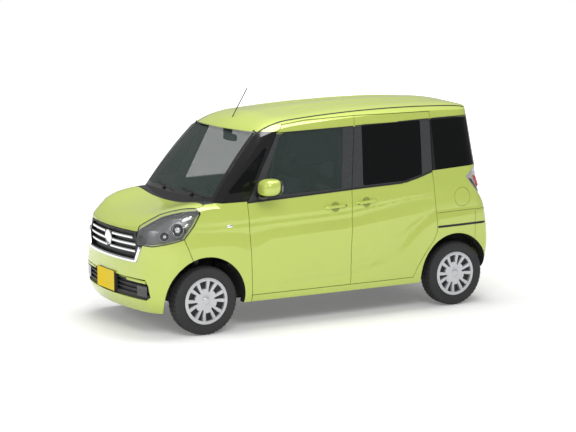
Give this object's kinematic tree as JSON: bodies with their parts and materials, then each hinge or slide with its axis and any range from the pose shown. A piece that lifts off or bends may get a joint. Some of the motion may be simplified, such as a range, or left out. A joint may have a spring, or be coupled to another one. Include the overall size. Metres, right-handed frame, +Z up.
{
  "type": "kei car",
  "caption": "Tall-bodied small car with hinged front doors, sliding rear doors, lifting tailgate, steered front wheels and a hollow cabin with seats.",
  "frame": {"origin": "on the ground at the middle of the whole car", "axes": "+X towards the tail, +Y towards the right-hand side, +Z up"},
  "size_m": [3.3942, 1.86, 1.907],
  "materials": {
    "paint": "glossy yellow-green metallic",
    "chrome_trim": "bright chrome",
    "black_plastic": "satin black moulded plastic",
    "interior_plastic": "dark grained plastic",
    "seat_fabric": "dark woven cloth",
    "clear_glass": "light green-grey tint",
    "dark_glass": "dark privacy tint",
    "lamp": "clear lamp lens",
    "tyre_rubber": "black rubber",
    "wheel_cover": "silver wheel cover over black steel wheel",
    "chassis": "black underbody paint",
    "cast": "raw cast iron",
    "bare_steel": "plain steel"
  },
  "bodies": {
    "body": {"floor_pan": "chassis", "side_frame_left": "paint", "side_frame_right": "paint", "roof_panel": "paint", "front_fenders": "paint", "front_bumper": "paint", "rear_bumper": "paint", "grille": "chrome_trim", "lower_grille": "black_plastic", "headlamps": "lamp", "tail_lamps": "lamp", "windscreen": "clear_glass", "quarter_glass": "dark_glass", "cowl": "black_plastic", "sliding_doors": "paint", "sliding_door_glass": "dark_glass", "front_suspension": "chassis", "rear_axle": "chassis", "engine": "cast", "fuel_tank": "interior_plastic", "exhaust": "bare_steel", "dashboard": "interior_plastic", "front_seats": "seat_fabric", "rear_seat": "seat_fabric", "aerial": "black_plastic"},
    "bonnet": {"bonnet": "paint"},
    "tailgate": {"tailgate": "paint", "tailgate_glass": "dark_glass"},
    "fuel_flap": {"fuel_flap": "paint"},
    "steering_wheel": {"steering_wheel": "interior_plastic"},
    "front_door_left": {"front_door_left": "paint", "front_door_glass_left": "clear_glass", "mirror_left": "paint"},
    "knuckle_left": {"knuckle_left": "cast"},
    "wheel_front_left": {"wheel_front_left": "wheel_cover", "tyre_front_left": "tyre_rubber"},
    "wheel_rear_left": {"wheel_rear_left": "wheel_cover", "tyre_rear_left": "tyre_rubber"},
    "front_door_right": {"front_door_right": "paint", "front_door_glass_right": "clear_glass", "mirror_right": "paint"},
    "knuckle_right": {"knuckle_right": "cast"},
    "wheel_front_right": {"wheel_front_right": "wheel_cover", "tyre_front_right": "tyre_rubber"},
    "wheel_rear_right": {"wheel_rear_right": "wheel_cover", "tyre_rear_right": "tyre_rubber"}
  },
  "joints": [
    {"name": "steer_left", "type": "hinge", "parent": "body", "child": "knuckle_left", "pos_m": [-1.1425, -0.535, 0.2785], "axis": [0, 0, 1], "range_deg": [-35, 35]},
    {"name": "wheel_front_left_spin", "type": "hinge", "parent": "knuckle_left", "child": "wheel_front_left", "pos_m": [-1.1425, -0.65, 0.2785], "axis": [0, 1, 0], "continuous": true},
    {"name": "wheel_rear_left_spin", "type": "hinge", "parent": "body", "child": "wheel_rear_left", "pos_m": [1.2875, -0.645, 0.2785], "axis": [0, 1, 0], "continuous": true},
    {"name": "front_door_left_hinge", "type": "hinge", "parent": "body", "child": "front_door_left", "pos_m": [-0.735, -0.736, 0.7], "axis": [0, 0, -1], "range_deg": [0, 65]},
    {"name": "steer_right", "type": "hinge", "parent": "body", "child": "knuckle_right", "pos_m": [-1.1425, 0.535, 0.2785], "axis": [0, 0, 1], "range_deg": [-35, 35]},
    {"name": "wheel_front_right_spin", "type": "hinge", "parent": "knuckle_right", "child": "wheel_front_right", "pos_m": [-1.1425, 0.65, 0.2785], "axis": [0, 1, 0], "continuous": true},
    {"name": "wheel_rear_right_spin", "type": "hinge", "parent": "body", "child": "wheel_rear_right", "pos_m": [1.2875, 0.645, 0.2785], "axis": [0, 1, 0], "continuous": true},
    {"name": "front_door_right_hinge", "type": "hinge", "parent": "body", "child": "front_door_right", "pos_m": [-0.735, 0.736, 0.7], "axis": [0, 0, 1], "range_deg": [0, 65]},
    {"name": "bonnet_hinge", "type": "hinge", "parent": "body", "child": "bonnet", "pos_m": [-1.122, 0, 1.05], "axis": [0, 1, 0], "range_deg": [0, 55]},
    {"name": "tailgate_hinge", "type": "hinge", "parent": "body", "child": "tailgate", "pos_m": [1.4795, 0, 1.757], "axis": [0, -1, 0], "range_deg": [0, 80]},
    {"name": "fuel_flap_hinge", "type": "hinge", "parent": "body", "child": "fuel_flap", "pos_m": [1.2685, -0.7186, 0.948], "axis": [0, 0, -1], "range_deg": [0, 90]},
    {"name": "steering_wheel_turn", "type": "hinge", "parent": "body", "child": "steering_wheel", "pos_m": [-0.455, 0.34, 0.905], "axis": [0.9063, 0, 0.4226], "range_deg": [-525, 525]}
  ],
  "couplings": [
    {"joint": "steer_right", "follows": "steer_left", "ratio": 1},
    {"joint": "steering_wheel_turn", "follows": "steer_left", "ratio": 15}
  ]
}
